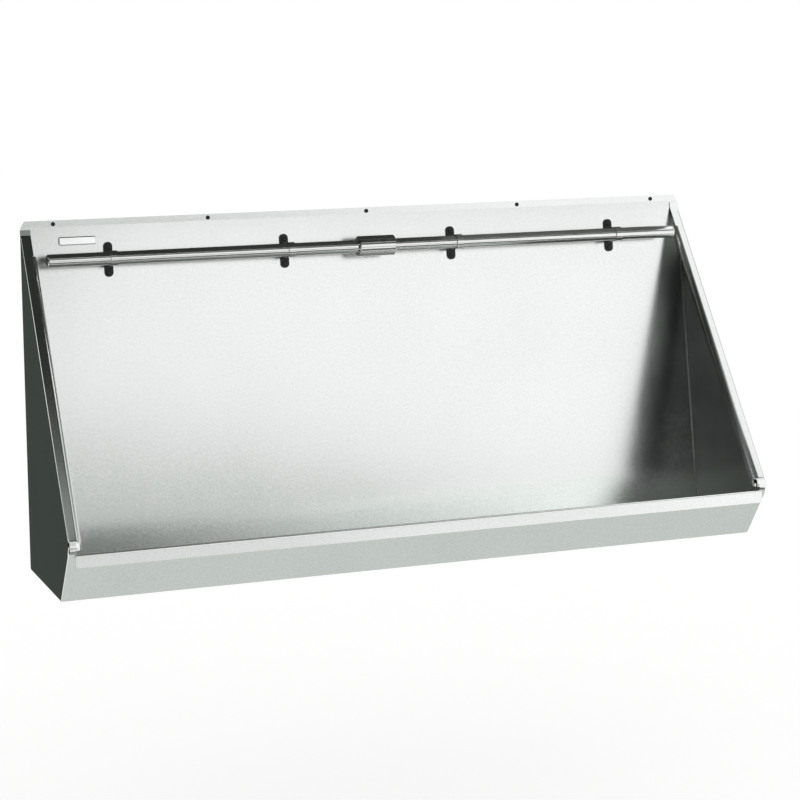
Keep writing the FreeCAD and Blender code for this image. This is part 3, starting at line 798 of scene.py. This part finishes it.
def makeWorld():
    world = bpy.data.worlds.new("whiteSurround")
    world.use_nodes = True
    bpy.context.scene.world = world
    w = Wire(world.node_tree)
    fill = (studio["fill"],) * 3
    tone = seen(w).tint(fill, (1, 1, 1))
    w.tree.links.new(tone.socket, w.tree.nodes["Background"].inputs["Color"])


def makeFloor():
    s = studio

    def lay(bm):
        bmesh.ops.create_grid(bm, x_segments=2, y_segments=2, size=s["floorSize"] / 2,
                              matrix=Matrix.Translation((0, 0, s["floorHeight"])))

    floor = stageMesh("floor", lay)
    finish, shader, w = newFinish("paleFloor", 0.0, {
        "Base Color": (*s["floorColour"], 1), "Roughness": s["floorRoughness"], "Specular IOR Level": 0.0,
        "Emission Strength": 1.0})
    lift = seen(w) * s["floorLift"]
    w.tree.links.new(lift.socket, shader.inputs["Emission Color"])
    floor.data.materials.append(finish)


def makeFlag(name, tone, build):
    flag = stageMesh(name, build)
    cloth = newFinish(name + "Cloth", 0.0, {
        "Base Color": (0, 0, 0, 1), "Roughness": 1.0, "Specular IOR Level": 0.0,
        "Emission Color": (*tone, 1), "Emission Strength": 1.0})[0]
    flag.data.materials.append(cloth)
    flag.visible_camera = False
    flag.visible_diffuse = False
    flag.visible_shadow = False
    flag.visible_transmission = False


def makeCurtain(name):
    c = curtains[name]
    start = math.radians(c["from"])
    radius = studio["curtainRadius"]

    def hang(bm):
        foot = bm.verts.new((-radius * math.sin(start), -radius * math.cos(start), c["foot"]))
        head = bm.verts.new((foot.co.x, foot.co.y, c["top"]))
        edge = bm.edges.new((foot, head))
        bmesh.ops.spin(bm, geom=[foot, head, edge], cent=(0, 0, 0), axis=(0, 0, 1),
                       angle=start - math.radians(c["to"]), steps=studio["curtainSteps"])

    makeFlag(name, c["tone"], hang)


def cardCorners(card):
    if "corners" in card:
        return card["corners"]
    left, right = card["x"]
    front, rear = card["y"]
    height = card["z"]
    return (left, front, height), (right, front, height), (right, rear, height), (left, rear, height)


def makeCard(name):
    card = cards[name]

    def cut(bm):
        bm.faces.new([bm.verts.new(corner) for corner in cardCorners(card)])

    makeFlag(name, card["tone"], cut)


def makeKey():
    lamp = bpy.data.lights.new("softKey", "AREA")
    lamp.shape = "RECTANGLE"
    lamp.size, lamp.size_y = studio["keySize"]
    lamp.energy = studio["keyPower"]
    key = bpy.data.objects.new("softKey", lamp)
    bpy.context.scene.collection.objects.link(key)
    place = Vector(studio["keyPlace"])
    aim = Vector(studio["keyAim"]) - place
    key.matrix_world = Matrix.Translation(place) @ aim.to_track_quat("-Z", "Y").to_matrix().to_4x4()


camera = {
    "place": (-1.26066, -3.67744, 0.23194),
    "focalPixels": 2249.37,
    "framePixels": 800,
    "axisPixel": (428.63, 216.03),
    "yaw": 20.519,
    "pitch": 3.582,
    "roll": -1.167,
    "sensor": 36.0,
}


def makeCamera():
    c = camera
    data = bpy.data.cameras.new("photoCamera")
    eye = bpy.data.objects.new("photoCamera", data)
    bpy.context.scene.collection.objects.link(eye)
    data.sensor_width = c["sensor"]
    data.lens = c["focalPixels"] / c["framePixels"] * c["sensor"]
    data.shift_x = (c["framePixels"] / 2 - c["axisPixel"][0]) / c["framePixels"]
    data.shift_y = (c["axisPixel"][1] - c["framePixels"] / 2) / c["framePixels"]
    turn = (Matrix.Rotation(math.radians(-c["yaw"]), 4, "Z")
            @ Matrix.Rotation(math.radians(90 - c["pitch"]), 4, "X")
            @ Matrix.Rotation(math.radians(c["roll"]), 4, "Z"))
    eye.matrix_world = Matrix.Translation(c["place"]) @ turn
    bpy.context.scene.camera = eye


makeWorld()
makeFloor()
for name in curtains:
    makeCurtain(name)
for name in cards:
    makeCard(name)
makeKey()
makeCamera()
bpy.context.scene.view_settings.view_transform = "Standard"
print("studio set")
